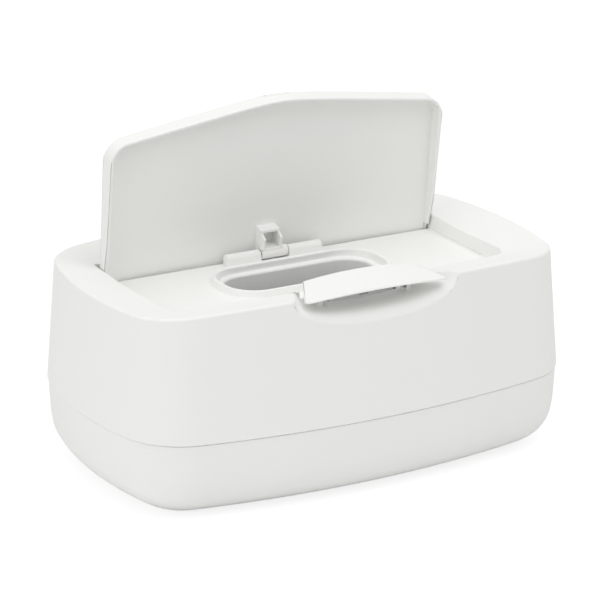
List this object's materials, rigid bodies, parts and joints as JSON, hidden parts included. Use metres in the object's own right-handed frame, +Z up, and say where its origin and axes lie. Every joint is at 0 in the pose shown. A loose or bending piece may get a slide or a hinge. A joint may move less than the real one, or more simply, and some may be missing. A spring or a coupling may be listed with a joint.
{
  "type": "wipes box",
  "caption": "Rounded rectangular wipes dispenser box with a sprung hinged lid standing open, a collared slot, a push paddle over a finger scoop and a lift-off top.",
  "frame": {"origin": "centre of the underside of the base tray", "axes": "+X to the right along the long side seen from the front, +Y to the back where the lid is hinged, +Z up"},
  "size_m": [0.2442, 0.151, 0.1733],
  "materials": {
    "white_plastic": "satin moulded white plastic",
    "steel": "drawn steel wire and rod"
  },
  "bodies": {
    "base": {"base_tray": "white_plastic"},
    "top": {"upper_housing": "white_plastic", "lid_hinge_pin": "steel", "lid_spring": "steel", "paddle_pivot_pin": "steel", "paddle_spring": "steel"},
    "lid": {"lid": "white_plastic"},
    "paddle": {"push_paddle": "white_plastic"}
  },
  "joints": [
    {"name": "top_lift_off", "type": "slide", "parent": "base", "child": "top", "axis": [0, 0, 1], "range_m": [0, 0.08]},
    {"name": "lid_hinge", "type": "hinge", "parent": "top", "child": "lid", "pos_m": [0, 0.0323, 0.0918], "axis": [1, 0, 0], "range_deg": [0, 84], "stiffness_Nm_per_rad": 0.06, "springref_deg": -28.65},
    {"name": "paddle_press", "type": "hinge", "parent": "top", "child": "paddle", "pos_m": [0, -0.0555, 0.0975], "axis": [1, 0, 0], "range_deg": [0, 7], "stiffness_Nm_per_rad": 0.5, "springref_deg": -11.46}
  ]
}
